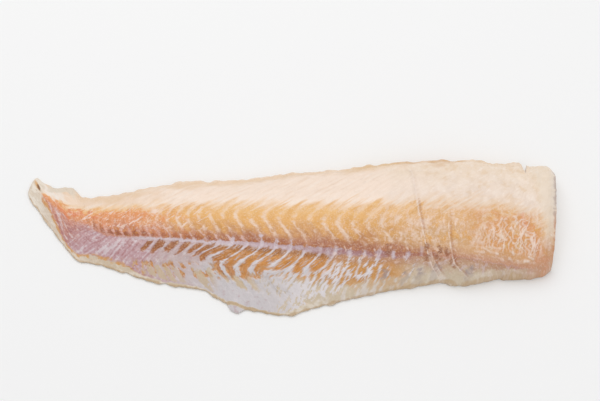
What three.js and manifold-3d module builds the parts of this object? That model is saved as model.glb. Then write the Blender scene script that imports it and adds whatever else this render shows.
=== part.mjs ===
// A skinless cod fillet lying on its boned side, skinned side up: one piece of fish, straight cut
// behind the head, with the tail left on. Millimetres, +Z up, +X from the tail to the straight cut,
// +Y from the belly to the back, origin in the middle of the table face.
import * as THREE from "three";
import { mergeVertices } from "three/addons/utils/BufferGeometryUtils.js";
import Module from "manifold-3d";

// Driving dimensions of the whole fillet
const TAIL_X = -199; // torn end of the tail
const CUT_X = 199; // straight cut behind the head
const RIM_THICKNESS = 1.2; // thin torn rim all round
const RIM_LIFT = 0.3; // how far the rim's lower corner stands off the table
const RIM_INSET = 2; // width of the bevel under the rim
const CREST_SKEW = 1.2; // moves the thickest line from mid width towards the back

// Plan view: the edge along the back, the edge along the belly and the lateral line, as [x, y]
const BACK_EDGE = [
  [TAIL_X, 39.5], [-198, 44.5], [-196.4, 49], [-193, 51.5], [-187, 46], [-179, 43], [-166, 43], [-162, 39],
  [-157, 34], [-146, 35], [-130, 36.6], [-116, 40.6], [-98, 43.6], [-84, 47], [-46, 47.4], [-24, 49.6],
  [-8, 52.6], [10, 54.4], [30, 55.4], [72, 61], [120, 63.5], [145, 63], [160, 60], [172, 62], [185, 57.5],
  [194, 58.5], [CUT_X, 54],
];
const BELLY_EDGE = [
  [TAIL_X, 37.4], [-197, 32], [-190.2, 23.4], [-177.4, 5], [-163, -13.4], [-156, -19.5], [-138, -23.6],
  [-118, -31], [-92, -39], [-66, -43.2], [-46, -54], [-24, -60.3], [-4, -64], [14, -59], [46, -50.2],
  [76, -43.3], [98, -40], [110, -37.3], [123, -40.6], [148, -35.6], [176, -34.4], [185, -32], [CUT_X, -20],
];
const LATERAL_LINE = [
  [TAIL_X, 40], [-176, 16.5], [-164, 5.6], [-148, -0.2], [-125, -4.7], [-85, -9.1], [-29, -15.8],
  [25, -21.6], [79, -24], [115, -25], [152, -29.1], [177, -32], [CUT_X, -28],
];

// Side view: thickness along the crest, as [x, mm]
const CROWN = [
  [TAIL_X, 1.8], [-185, 4.2], [-165, 7], [-140, 11], [-100, 15.5], [-50, 20], [0, 23.5], [60, 26.5],
  [110, 28], [150, 27], [185, 25], [CUT_X, 24],
];
// Cross-section: 1 falls straight to the edge, 2 is round, 3 and more is a steep trimmed face
const BELLY_FULLNESS = [
  [TAIL_X, 0.8], [-140, 0.95], [-50, 1.15], [0, 1.2], [60, 1.5], [110, 2.3], [160, 3.3], [CUT_X, 3.6],
];
const BACK_FULLNESS = [[TAIL_X, 0.7], [-150, 1.4], [-100, 1.9], [-40, 2.2], [CUT_X, 2.3]];

// Muscle flakes: short at the tail, full length from mid body on
const TAIL_FLAKE = 3;
const BODY_FLAKE = 10.9;
const FLAKES_FULL_FROM_TAIL = 174;
// One flake's zigzag edge at full size, as [distance from the lateral line, shift along the fillet]
const FLAKE_ZIGZAG = [
  [-40, 0], [-29.5, -11], [-19, -19.5], [-12, -13], [-4, -2.6], [0, 0], [6, 0.4], [12, -2], [25, -8.7],
  [36, 1], [65, 42],
];
const ZIGZAG_TAIL_FADE = 175;
const ZIGZAG_CUT_FADE = 95;
const GROOVE_DEPTH = 0.9; // between two flakes beside the lateral line
const BACK_GROOVE_SHARE = 0.3; // how much of that depth is left on the smooth back
const SMOOTH_BACK = { from: 20, full: 44 }; // distances from the lateral line where the back smooths out
const GROOVES_FULL_THICKNESS = 12; // flesh this thick has grooves of full depth

// Local forms
const STRAIGHT_CUT_SLANT = 8; // the belly corner of the straight cut lies this far back
const STRAIGHT_CUT_BOW = 1.5; // 1 runs the cut straight to that corner, more bows it
const CUT_ROUNDING = 9; // length over which the top rounds down to the straight cut
const CUT_ROUNDING_DROP = 0.22; // share of the thickness lost there
const FLAP = { from: -47, full: -43, ebb: -39, to: -29, reach: 5.2 }; // loose scrap on the belly edge
const HOLLOW = { x: 68, y: -12, radius: 15, depth: 1.3 }; // soft thumb-sized hollow
const BACK_SEAM = { inset: 6.5, width: 2.2, depth: 0.7, from: -70, to: 150, fade: 20 }; // along the back
// Unevenness of the torn edges, as waves that never fall in step
const TORN_WAVES = [{ pitch: 9.7, reach: 0.25 }, { pitch: 14.3, reach: 0.3 }, { pitch: 26.9, reach: 0.35 }];
const TORN_PHASE = { back: 1, belly: 4 }; // sets the two edges out of step
const EDGE_SHARE = 0.14; // share of the width that follows the torn edge
const NICK = { left: 169.6, right: 182.5, tip: 175.2, tipY: 43, outerY: 75, height: 40 }; // in the back edge

// Mesh fineness
const STATIONS_PER_FLAKE = 3;
const TOP_POINTS = 27;
const EDGE_CROWDING = 0.6; // 0 spaces the points evenly over the width, 1 crowds them to the edges
const WIDEST_BEVEL_SHARE = 0.25; // most of the width that one bevel may take

// A smooth curve y(x) through the knots, with each tangent taken from the knots on either side.
function through(knots) {
  const slope = knots.map((_, i) => {
    const [x0, y0] = knots[Math.max(i - 1, 0)];
    const [x1, y1] = knots[Math.min(i + 1, knots.length - 1)];
    return (y1 - y0) / (x1 - x0);
  });
  return (x) => {
    const at = THREE.MathUtils.clamp(x, knots[0][0], knots.at(-1)[0]);
    const last = knots.length - 2;
    const found = knots.findIndex(([k]) => k > at) - 1;
    const i = found < 0 ? last : Math.min(found, last);
    const [x0, y0] = knots[i];
    const [x1, y1] = knots[i + 1];
    const h = x1 - x0;
    const u = (at - x0) / h;
    const rise = u * u * (3 - 2 * u);
    const bend = u * (1 - u) * ((1 - u) * slope[i] - u * slope[i + 1]) * h;
    return y0 + (y1 - y0) * rise + bend;
  };
}

const { lerp, smoothstep } = THREE.MathUtils;
const backEdge = through(BACK_EDGE);
const bellyEdge = through(BELLY_EDGE);
const lateralLine = through(LATERAL_LINE);
const crown = through(CROWN);
const bellyFullness = through(BELLY_FULLNESS);
const backFullness = through(BACK_FULLNESS);
const zigzag = through(FLAKE_ZIGZAG);

// Small uneven steps along a torn edge.
function torn(x, phase) {
  const wave = ({ pitch, reach }) => reach * Math.sin((2 * Math.PI * x) / pitch + phase);
  return TORN_WAVES.reduce((sum, each) => sum + wave(each), 0);
}

// What the torn edges and the loose scrap add to the smooth plan, felt only close to the edge.
function edgeShift(x, share) {
  const flap = smoothstep(x, FLAP.from, FLAP.full) * (1 - smoothstep(x, FLAP.ebb, FLAP.to));
  const nearBack = smoothstep(share, 1 - EDGE_SHARE, 1);
  const nearBelly = 1 - smoothstep(share, 0, EDGE_SHARE);
  const atBelly = torn(x, TORN_PHASE.belly) - FLAP.reach * flap;
  return nearBack * torn(x, TORN_PHASE.back) + nearBelly * atBelly;
}

// Flakes grow longer from the tail towards mid body.
function flakeLength(x) {
  return lerp(TAIL_FLAKE, BODY_FLAKE, Math.min((x - TAIL_X) / FLAKES_FULL_FROM_TAIL, 1));
}

// Where each station crosses the lateral line: a fixed number of stations to a flake.
function stationPlaces() {
  const places = [TAIL_X];
  while (places.at(-1) < CUT_X) {
    places.push(places.at(-1) + flakeLength(places.at(-1)) / STATIONS_PER_FLAKE);
  }
  const stretch = (CUT_X - TAIL_X) / (places.at(-1) - TAIL_X);
  return places.map((x) => TAIL_X + (x - TAIL_X) * stretch);
}

// How far a flake's edge is shifted along the fillet at a distance from the lateral line.
function flakeShift(x, fromLateral) {
  const size = flakeLength(x) / BODY_FLAKE;
  const offTail = smoothstep(x, TAIL_X, TAIL_X + ZIGZAG_TAIL_FADE);
  const offCut = 1 - smoothstep(x, CUT_X - ZIGZAG_CUT_FADE, CUT_X);
  return size * zigzag(fromLateral / size) * offTail * offCut;
}

// A point of the plan: the station's place and the share of the way from the belly to the back.
function planPoint(place, share) {
  const straight = lerp(bellyEdge(place), backEdge(place), share) - lateralLine(place);
  const shifted = place + flakeShift(place, straight);
  const slant = STRAIGHT_CUT_SLANT * (1 - share) ** STRAIGHT_CUT_BOW;
  const x = shifted - slant * smoothstep(shifted, 0, CUT_X);
  return { x, y: lerp(bellyEdge(x), backEdge(x), share) + edgeShift(x, share) };
}

// The smooth thickness, before the flakes and grooves.
function thickness(x, y, place, share) {
  const across = share ** CREST_SKEW;
  const fullness = lerp(bellyFullness(x), backFullness(x), share);
  const rounding = smoothstep(place, CUT_X - CUT_ROUNDING, CUT_X) ** 2;
  const crest = crown(x) * (1 - CUT_ROUNDING_DROP * rounding) - RIM_THICKNESS;
  const fromHollow = Math.hypot(x - HOLLOW.x, y - HOLLOW.y) / HOLLOW.radius;
  const hollow = HOLLOW.depth * Math.exp(-fromHollow * fromHollow) * Math.sin(Math.PI * share);
  return RIM_THICKNESS + crest * (4 * across * (1 - across)) ** (1 / fullness) - hollow;
}

// The groove between flakes and the seam along the back, both shallower where the fillet is thin.
function relief(x, y, flakePhase, thick) {
  const room = smoothstep(thick, 2 * RIM_THICKNESS, GROOVES_FULL_THICKNESS);
  const onBack = smoothstep(y - lateralLine(x), SMOOTH_BACK.from, SMOOTH_BACK.full);
  const depth = GROOVE_DEPTH * lerp(1, BACK_GROOVE_SHARE, onBack);
  const groove = depth * (0.5 + 0.5 * Math.cos(2 * Math.PI * flakePhase));
  const { inset, width, from, to, fade } = BACK_SEAM;
  const fromSeam = (backEdge(x) - y - inset) / width;
  const along = smoothstep(x, from, from + fade) * (1 - smoothstep(x, to - fade, to));
  const seam = BACK_SEAM.depth * along * Math.exp(-fromSeam * fromSeam);
  return room * (groove + seam);
}

// One closed ring of points round the fillet: over the top from the belly to the back, then underneath.
function ring(place, station) {
  const points = [];
  for (let i = 0; i < TOP_POINTS; i++) {
    const turn = i / (TOP_POINTS - 1);
    const share = lerp(turn, 0.5 - 0.5 * Math.cos(Math.PI * turn), EDGE_CROWDING);
    const { x, y } = planPoint(place, share);
    const thick = thickness(x, y, place, share);
    points.push([x, y, thick - relief(x, y, station / STATIONS_PER_FLAKE, thick)]);
  }
  const width = backEdge(place) - bellyEdge(place);
  const inset = Math.min(RIM_INSET / width, WIDEST_BEVEL_SHARE);
  for (const [share, lift] of [[1, RIM_LIFT], [1 - inset, 0], [0.5, 0], [inset, 0], [0, RIM_LIFT]]) {
    const { x, y } = planPoint(place, share);
    points.push([x, y, lift]);
  }
  return points;
}

// Joins the rings into one closed skin, with a fan over the first and the last ring.
function skinOver(rings) {
  const count = rings[0].length;
  const positions = rings.flat(2);
  const index = [];
  for (let r = 0; r + 1 < rings.length; r++) {
    for (let i = 0; i < count; i++) {
      const [a, b] = [r * count + i, r * count + ((i + 1) % count)];
      index.push(a, a + count, b, b, a + count, b + count);
    }
  }
  for (const [first, facing] of [[0, 1], [(rings.length - 1) * count, -1]]) {
    const rim = rings[first / count];
    const centre = positions.length / 3;
    positions.push(...[0, 1, 2].map((axis) => rim.reduce((sum, p) => sum + p[axis], 0) / count));
    for (let i = 0; i < count; i++) {
      const pair = [first + i, first + ((i + 1) % count)];
      index.push(centre, ...(facing > 0 ? pair : pair.reverse()));
    }
  }
  const geometry = new THREE.BufferGeometry();
  geometry.setAttribute("position", new THREE.Float32BufferAttribute(positions, 3));
  geometry.setIndex(index);
  return geometry;
}

// The wedge that the knife took out of the back edge.
function nickWedge() {
  const outline = new THREE.Shape([
    new THREE.Vector2(NICK.left, NICK.outerY),
    new THREE.Vector2(NICK.tip, NICK.tipY),
    new THREE.Vector2(NICK.right, NICK.outerY),
  ]);
  const wedge = new THREE.ExtrudeGeometry(outline, { depth: 2 * NICK.height, bevelEnabled: false });
  return wedge.translate(0, 0, -NICK.height);
}

const wasm = await Module();
wasm.setup();

function toSolid(geometry) {
  geometry.deleteAttribute("normal");
  geometry.deleteAttribute("uv");
  const merged = mergeVertices(geometry);
  return new wasm.Manifold(
    new wasm.Mesh({
      numProp: 3,
      vertProperties: merged.attributes.position.array,
      triVerts: new Uint32Array(merged.index.array),
    }),
  );
}

function toGeometry(solid) {
  const { vertProperties, triVerts } = solid.getMesh();
  const geometry = new THREE.BufferGeometry();
  geometry.setAttribute("position", new THREE.BufferAttribute(vertProperties, 3));
  geometry.setIndex(new THREE.BufferAttribute(triVerts, 1));
  geometry.computeVertexNormals();
  return geometry;
}

const flesh = toSolid(skinOver(stationPlaces().map(ring)));
const nicked = flesh.subtract(toSolid(nickWedge()));

// The origin goes to the middle of the table face.
const shape = toGeometry(nicked);
shape.computeBoundingBox();
const middle = shape.boundingBox.getCenter(new THREE.Vector3());
shape.translate(-middle.x, -middle.y, -shape.boundingBox.min.z);

const rawFish = new THREE.MeshStandardMaterial({ color: 0xe6cbb0, roughness: 0.42, metalness: 0 });
const fillet = new THREE.Mesh(shape, rawFish);
fillet.name = "fillet";

const codFillet = new THREE.Group();
codFillet.add(fillet);

export default codFillet;
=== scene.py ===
import math
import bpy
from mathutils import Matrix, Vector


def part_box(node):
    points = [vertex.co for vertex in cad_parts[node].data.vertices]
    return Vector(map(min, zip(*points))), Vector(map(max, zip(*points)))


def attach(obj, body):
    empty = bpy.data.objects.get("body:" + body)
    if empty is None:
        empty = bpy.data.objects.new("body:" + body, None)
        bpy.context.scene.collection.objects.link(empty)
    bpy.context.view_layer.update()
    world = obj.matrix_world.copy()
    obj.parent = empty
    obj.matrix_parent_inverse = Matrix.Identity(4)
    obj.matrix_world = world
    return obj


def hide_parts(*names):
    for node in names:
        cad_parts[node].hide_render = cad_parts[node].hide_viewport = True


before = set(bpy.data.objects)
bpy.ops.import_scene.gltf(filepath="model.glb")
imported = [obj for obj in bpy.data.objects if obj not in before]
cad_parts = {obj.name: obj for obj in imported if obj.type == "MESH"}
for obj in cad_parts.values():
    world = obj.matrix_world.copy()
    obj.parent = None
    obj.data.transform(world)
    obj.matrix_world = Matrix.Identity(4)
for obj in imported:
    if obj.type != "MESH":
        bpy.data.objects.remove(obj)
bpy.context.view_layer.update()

from types import SimpleNamespace

import bpy
import numpy as np
from mathutils.kdtree import KDTree

# The fillet's form
# One side of a cod, a single slab of muscle, cut off the backbone with a knife and pulled free of its skin.
# It lies on its boned side: thick at the straight cut behind the head, thin and torn at the tail and the
# belly. Sizes are in millimetres, and the flakes of muscle are numbered from the tail.
MM = 0.001
TAIL_X = -199.0
CUT_X = 199.0
RIM_THICKNESS = 1.2
RIM_LIFT = 0.3
RIM_INSET = 2.0
WIDEST_BEVEL_SHARE = 0.25
CREST_SKEW = 1.2
BACK_EDGE = [
    (TAIL_X, 39.5), (-198, 44.5), (-196.4, 49), (-193, 51.5), (-187, 46), (-179, 43), (-166, 43), (-162, 39),
    (-157, 34), (-146, 35), (-130, 36.6), (-116, 40.6), (-98, 43.6), (-84, 47), (-46, 47.4), (-24, 49.6),
    (-8, 52.6), (10, 54.4), (30, 55.4), (72, 61), (120, 63.5), (145, 63), (160, 60), (172, 62), (185, 57.5),
    (194, 58.5), (CUT_X, 54),
]
BELLY_EDGE = [
    (TAIL_X, 37.4), (-197, 32), (-190.2, 23.4), (-177.4, 5), (-163, -13.4), (-156, -19.5), (-138, -23.6),
    (-118, -31), (-92, -39), (-66, -43.2), (-46, -54), (-24, -60.3), (-4, -64), (14, -59), (46, -50.2),
    (76, -43.3), (98, -40), (110, -37.3), (123, -40.6), (148, -35.6), (176, -34.4), (185, -32), (CUT_X, -20),
]
LATERAL_LINE = [
    (TAIL_X, 40), (-176, 16.5), (-164, 5.6), (-148, -0.2), (-125, -4.7), (-85, -9.1), (-29, -15.8),
    (25, -21.6), (79, -24), (115, -25), (152, -29.1), (177, -32), (CUT_X, -28),
]
CROWN = [
    (TAIL_X, 1.8), (-185, 4.2), (-165, 7), (-140, 11), (-100, 15.5), (-50, 20), (0, 23.5), (60, 26.5),
    (110, 28), (150, 27), (185, 25), (CUT_X, 24),
]
BELLY_FULLNESS = [
    (TAIL_X, 0.8), (-140, 0.95), (-50, 1.15), (0, 1.2), (60, 1.5), (110, 2.3), (160, 3.3), (CUT_X, 3.6),
]
BACK_FULLNESS = [(TAIL_X, 0.7), (-150, 1.4), (-100, 1.9), (-40, 2.2), (CUT_X, 2.3)]
TAIL_FLAKE = 3.0
BODY_FLAKE = 10.9
FLAKES_FULL_FROM_TAIL = 174.0
FLAKE_STEPS = 3
FLAKE_ZIGZAG = [
    (-40, 0), (-29.5, -11), (-19, -19.5), (-12, -13), (-4, -2.6), (0, 0), (6, 0.4), (12, -2), (25, -8.7),
    (36, 1), (65, 42),
]
ZIGZAG_TAIL_FADE = 175.0
ZIGZAG_CUT_FADE = 95.0
STRAIGHT_CUT_SLANT = 8.0
STRAIGHT_CUT_BOW = 1.5
CUT_ROUNDING = 9.0
CUT_ROUNDING_DROP = 0.22
FLAP = SimpleNamespace(start=-47, full=-43, ebb=-39, end=-29, reach=5.2)
HOLLOW = SimpleNamespace(x=68, y=-12, radius=15, depth=1.3)
TORN_WAVES = [(9.7, 0.25), (14.3, 0.3), (26.9, 0.35)]
TORN_PHASE_BACK = 1
TORN_PHASE_BELLY = 4
RAGGED_PITCH = 2.3
RAGGED_REACH = 0.4
EDGE_SHARE = 0.14
FULL_RELIEF_THICKNESS = 12
# How far the golden band reaches up from the lateral line, as (x, distance)
BAND_TOP = [
    (TAIL_X, 6), (-173, 15), (-142, 21.2), (-104, 27), (-67, 31.4), (-30, 35.2), (7, 38.3), (43, 39.5),
    (116, 39), (153, 41.8), (179, 38), (CUT_X, 34),
]
# How wide the glassy margin along the belly is, as (x, width)
MARGIN_WIDTH = [
    (TAIL_X, 9), (-184, 6.6), (-177, 4.8), (-172, 3.4), (-166, 2), (-158, 2.6), (-148, 5), (-136, 4.4),
    (-122, 4.4), (-110, 2.4), (-60, 1.4), (-5, 1.6), (20, 5), (50, 7), (80, 6), (110, 4), (150, 3),
    (CUT_X, 3),
]
# Creases pressed across the thick end, each as (y, x) from the belly up
CREASES = [
    [(-39, 111), (-33, 104.5), (-25, 100.5), (-10, 97), (5, 94), (26, 92), (44, 90), (60, 88)],
    [(-38, 113.5), (-32, 107.5), (-25, 103), (-6, 98.5)],
    [(-29, 114), (-12, 107)],
    [(-40, 131), (-34, 123.5), (-29, 118.5), (-17, 116), (-7, 115), (16, 116)],
]
CREASE_BELLY_FADE = 6.0
CREASE_BACK_FADE = 24.0
FAR = 99.0
STATIONS = 621
TOP_POINTS = 132
BOTTOM_POINTS = 18
EDGE_CROWDING = 0.3


def through(knots):
    """A smooth curve through the knots, each tangent taken from the knots on either side."""
    knot, height = np.array(knots, float).T
    each = np.arange(len(knot))
    before = np.maximum(each - 1, 0)
    after = np.minimum(each + 1, len(knot) - 1)
    slope = (height[after] - height[before]) / (knot[after] - knot[before])

    def curve(at):
        at = np.clip(at, knot[0], knot[-1])
        i = np.clip(np.searchsorted(knot, at, side="right") - 1, 0, len(knot) - 2)
        run = knot[i + 1] - knot[i]
        u = (at - knot[i]) / run
        rise = u * u * (3 - 2 * u)
        bend = u * (1 - u) * ((1 - u) * slope[i] - u * slope[i + 1]) * run
        return height[i] + (height[i + 1] - height[i]) * rise + bend

    return curve


def step(value, low, high):
    """0 up to low, 1 from high on, smooth between."""
    t = np.clip((value - low) / (high - low), 0, 1)
    return t * t * (3 - 2 * t)


def lerp(a, b, share):
    return a + (b - a) * share


back_edge = through(BACK_EDGE)
belly_edge = through(BELLY_EDGE)
lateral_line = through(LATERAL_LINE)
crown = through(CROWN)
belly_fullness = through(BELLY_FULLNESS)
back_fullness = through(BACK_FULLNESS)
flake_zigzag = through(FLAKE_ZIGZAG)
band_top = through(BAND_TOP)
margin_width = through(MARGIN_WIDTH)


def torn(x, phase):
    """Small uneven steps along a torn edge: long waves, and ragged bits drawn with a fixed seed."""
    waves = sum(reach * np.sin(2 * np.pi * x / pitch + phase) for pitch, reach in TORN_WAVES)
    places = np.arange(TAIL_X - RAGGED_PITCH, CUT_X + 2 * RAGGED_PITCH, RAGGED_PITCH)
    bits = np.random.default_rng(phase).uniform(-RAGGED_REACH, RAGGED_REACH, len(places))
    return waves + np.interp(x, places, bits)


def edge_shift(x, share):
    """What the torn edges and the loose scrap add to the smooth plan, felt only close to the edge."""
    flap = step(x, FLAP.start, FLAP.full) * (1 - step(x, FLAP.ebb, FLAP.end))
    near_back = step(share, 1 - EDGE_SHARE, 1)
    near_belly = 1 - step(share, 0, EDGE_SHARE)
    at_belly = torn(x, TORN_PHASE_BELLY) - FLAP.reach * flap
    return near_back * torn(x, TORN_PHASE_BACK) + near_belly * at_belly


def flake_length(x):
    return lerp(TAIL_FLAKE, BODY_FLAKE, np.minimum((x - TAIL_X) / FLAKES_FULL_FROM_TAIL, 1))


def flake_shift(x, across):
    """How far a flake's edge is shifted along the fillet at a distance from the lateral line."""
    size = flake_length(x) / BODY_FLAKE
    off_tail = step(x, TAIL_X, TAIL_X + ZIGZAG_TAIL_FADE)
    off_cut = 1 - step(x, CUT_X - ZIGZAG_CUT_FADE, CUT_X)
    return size * flake_zigzag(across / size) * off_tail * off_cut


def plan(place, share):
    """A point of the plan: where its flake crosses the lateral line, and its share of the width."""
    across = lerp(belly_edge(place), back_edge(place), share) - lateral_line(place)
    shifted = place + flake_shift(place, across)
    slant = STRAIGHT_CUT_SLANT * (1 - share) ** STRAIGHT_CUT_BOW
    x = shifted - slant * step(shifted, 0, CUT_X)
    return x, lerp(belly_edge(x), back_edge(x), share) + edge_shift(x, share)


def thickness(x, y, place, share):
    """The smooth thickness, before the flakes and grooves."""
    across = share ** CREST_SKEW
    fullness = lerp(belly_fullness(x), back_fullness(x), share)
    rounding = step(place, CUT_X - CUT_ROUNDING, CUT_X) ** 2
    crest = crown(x) * (1 - CUT_ROUNDING_DROP * rounding) - RIM_THICKNESS
    from_hollow = np.hypot(x - HOLLOW.x, y - HOLLOW.y) / HOLLOW.radius
    hollow = HOLLOW.depth * np.exp(-from_hollow ** 2) * np.sin(np.pi * share)
    return RIM_THICKNESS + crest * np.maximum(4 * across * (1 - across), 0) ** (1 / fullness) - hollow


def flake_numbers(place):
    """The flake that crosses the lateral line at each place, counted in short steps from the tail."""
    places = [TAIL_X]
    while places[-1] < CUT_X:
        places.append(places[-1] + flake_length(places[-1]) / FLAKE_STEPS)
    stretch = (CUT_X - TAIL_X) / (places[-1] - TAIL_X)
    places = TAIL_X + (np.array(places) - TAIL_X) * stretch
    return np.interp(place, places, np.arange(len(places)) / FLAKE_STEPS)


def nearest_crease(x, y):
    """The signed way along x to the nearest crease, and how strong the crease is there."""
    nearest = np.full(x.shape, FAR)
    strength = np.zeros(x.shape)
    for crease in CREASES:
        offset = x - through(crease)(y)
        start = crease[0][0]
        end = crease[-1][0]
        fade = step(y, start, start + CREASE_BELLY_FADE) * (1 - step(y, end - CREASE_BACK_FADE, end))
        closer = (np.abs(offset) < np.abs(nearest)) & (fade > 0)
        nearest = np.where(closer, offset, nearest)
        strength = np.where(closer, fade, strength)
    return nearest, strength


def way_to(edge, x, y):
    """The shortest way in the plan from each point to an edge of the fillet."""
    tree = KDTree(STATIONS)
    for i, along in enumerate(np.linspace(TAIL_X, CUT_X, STATIONS)):
        tree.insert((along, edge(along), 0), i)
    tree.balance()
    points = zip(x.ravel(), y.ravel())
    return np.array([tree.find((px, py, 0))[2] for px, py in points]).reshape(x.shape)


station = np.linspace(TAIL_X, CUT_X, STATIONS)[:, None]
turn = np.linspace(0, 1, TOP_POINTS)[None, :]
top_share = lerp(turn, 0.5 - 0.5 * np.cos(np.pi * turn), EDGE_CROWDING) + 0 * station
inset = np.minimum(RIM_INSET / (back_edge(station) - belly_edge(station)), WIDEST_BEVEL_SHARE)
flat_share = lerp(1 - inset, inset, np.linspace(0, 1, BOTTOM_POINTS - 2)[None, :])
bottom_share = np.hstack([np.ones_like(station), flat_share, np.zeros_like(station)])
share = np.hstack([top_share, bottom_share])
x, y = plan(station, share)
z = thickness(x, y, station, share)
z[:, TOP_POINTS:] = 0
z[:, [TOP_POINTS, -1]] = RIM_LIFT
ring = share.shape[1]
on_top = np.arange(ring) < TOP_POINTS

crease, crease_strength = nearest_crease(x, y)
from_belly = way_to(belly_edge, x, y)
from_line = y - lateral_line(x)
fields = {
    "along": x,
    "flake": flake_numbers(station) + 0 * x,
    "across": from_line,
    "tone": from_line / band_top(x),
    "margin": from_belly / margin_width(x),
    "belly_rim": from_belly,
    "back_rim": way_to(back_edge, x, y),
    "crease": crease,
    "crease_strength": crease_strength,
    "skinned": on_top + 0 * x,
    "room": step(z, 2 * RIM_THICKNESS, FULL_RELIEF_THICKNESS),
    "known": np.ones_like(x),
}

# The skin of points is closed by one face over the tail's end and one over the straight cut.
number = np.arange(x.size).reshape(x.shape)
beside = np.roll(number, -1, axis=1)
quads = np.stack([number[:-1], number[1:], beside[1:], beside[:-1]], axis=-1).reshape(-1, 4)
faces = quads.tolist() + [number[0].tolist(), number[-1][::-1].tolist()]
SKINNED_SIDE, CUT_FACE, BONED_SIDE = range(3)
side_of_ring = np.where(on_top, SKINNED_SIDE, BONED_SIDE)
side_of_ring[-1] = SKINNED_SIDE
sides = np.append(np.tile(side_of_ring, STATIONS - 1), [SKINNED_SIDE, CUT_FACE])

low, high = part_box("fillet")
shift_x = (low[0] + high[0]) / 2 - (x.min() + x.max()) / 2 * MM
shift_y = (low[1] + high[1]) / 2 - (y.min() + y.max()) / 2 * MM
points = np.stack([x * MM + shift_x, y * MM + shift_y, z * MM], axis=-1).reshape(-1, 3)

mesh = bpy.data.meshes.new("fillet_flesh")
mesh.from_pydata(points.tolist(), [], faces)
for name, values in fields.items():
    attribute = mesh.attributes.new(name, "FLOAT", "POINT")
    attribute.data.foreach_set("value", values.astype(np.float32).ravel())
side_attribute = mesh.attributes.new("side", "INT", "FACE")
side_attribute.data.foreach_set("value", sides.astype(np.int32))
mesh.polygons.foreach_set("use_smooth", sides != CUT_FACE)
materials = [bpy.data.materials.new(name) for name in ("skinned side", "cut face", "boned side")]
for material in materials:
    material.use_nodes = True
    mesh.materials.append(material)
fillet = bpy.data.objects.new("fillet_flesh", mesh)
bpy.context.scene.collection.objects.link(fillet)


# Values on a node tree
# Noise is spread to about -1 to 1, and each seed reads it at another place.
NOISE_MIDDLE = 0.5
NOISE_GAIN = 7
SEED_STEP = 7.31
CHANCE_SEED_STEP = 71.7
THREAD_CORE_SHARE = 0.3
SPOT_OUTER = 1.3
SPOT_INNER = 0.3


class Field:
    """A value on a node tree: maths on it is written as an expression and becomes nodes."""

    def __init__(self, tree, socket=None):
        self.tree = tree
        self.socket = socket

    def node(self, kind, settings=None, sockets=None, output=0):
        """Adds a node: its settings first, then the values or links of its sockets."""
        node = self.tree.nodes.new(kind)
        for name, value in (settings or {}).items():
            if name == "stops":
                stops = node.color_ramp.elements
                while len(stops) < len(value):
                    stops.new(1)
                for stop, (position, colour) in zip(stops, value):
                    stop.position = position
                    stop.color = colour
            else:
                setattr(node, name, value)
        fill_sockets(node, sockets or {})
        return Field(self.tree, node.outputs[output])

    def maths(self, operation, *others):
        return self.node("ShaderNodeMath", {"operation": operation}, dict(enumerate((self, *others))))

    def __add__(self, other):
        return self.maths("ADD", other)

    def __sub__(self, other):
        return self.maths("SUBTRACT", other)

    def __rsub__(self, other):
        return self.node("ShaderNodeMath", {"operation": "SUBTRACT"}, {0: other, 1: self})

    def __mul__(self, other):
        return self.maths("MULTIPLY", other)

    def __truediv__(self, other):
        return self.maths("DIVIDE", other)

    def __neg__(self):
        return self.maths("MULTIPLY", -1)

    def __abs__(self):
        return self.maths("ABSOLUTE")

    __radd__ = __add__
    __rmul__ = __mul__


def fill_sockets(node, sockets):
    """Gives the sockets of a node their values, and links those that get a field."""
    for key, value in sockets.items():
        if isinstance(value, Field):
            value.tree.links.new(value.socket, node.inputs[key])
        else:
            node.inputs[key].default_value = value


def ramp(value, low, high):
    """0 at low, 1 at high, smooth between. Low may be above high."""
    return value.node("ShaderNodeMapRange", {"interpolation_type": "SMOOTHSTEP"},
                      {"Value": value, "From Min": low, "From Max": high})


def between(value, low, high, soft):
    """1 from low to high, fading to 0 over a soft margin at both ends."""
    return ramp(value, low - soft, low + soft) * ramp(value, high + soft, high - soft)


def rough(u, v, seed, detail=2.0):
    """Smooth unevenness, most of it from -1 to 1, with a swell to each unit of u and v."""
    place = u.node("ShaderNodeCombineXYZ", None, {"X": u, "Y": v, "Z": seed * SEED_STEP})
    grey = u.node("ShaderNodeTexNoise", None, {"Vector": place, "Scale": 1.0, "Detail": detail})
    return (grey - NOISE_MIDDLE) * NOISE_GAIN


def threads(value, width):
    """Thin lines where an uneven value crosses zero."""
    return ramp(abs(value), width, width * THREAD_CORE_SHARE)


def chance(cell, seed):
    """One random number from 0 to 1 for each whole cell."""
    place = cell + seed * CHANCE_SEED_STEP
    return cell.node("ShaderNodeTexWhiteNoise", {"noise_dimensions": "1D"}, {"W": place})


def spots(f, places, along, across, uneven):
    """Ragged soft spots of one size, each at a place along the fillet and across from the lateral line."""
    mask = 0
    for x, a in places:
        away = ((f.along - x) / along).maths("POWER", 2) + ((f.across - a) / across).maths("POWER", 2)
        mask = ramp(away + uneven, SPOT_OUTER, SPOT_INNER) + mask
    return mask


def surface_fields(tree, names):
    """The named values carried by the fillet's points, read on a shader or a geometry tree."""
    start = Field(tree)
    f = SimpleNamespace()
    for name in names:
        if tree.type == "GEOMETRY":
            value = start.node("GeometryNodeInputNamedAttribute", {"data_type": "FLOAT"}, {"Name": name})
        else:
            value = start.node("ShaderNodeAttribute", {"attribute_name": name}, output=2)
        setattr(f, name, value)
    f.cell = f.flake.maths("FLOOR")
    f.part = f.flake - f.cell
    f.septum = 0.5 - abs(f.part - 0.5)
    f.septum_number = (f.flake + 0.5).maths("FLOOR")
    # The windows under the lateral line lie farther apart than the flakes near the tail
    f.window_flake = f.flake + 0.5 * ramp(f.flake, 23.5, 20)
    f.window_cell = f.window_flake.maths("FLOOR")
    f.window_septum = 0.5 - abs(f.window_flake - f.window_cell - 0.5)
    return f


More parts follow.
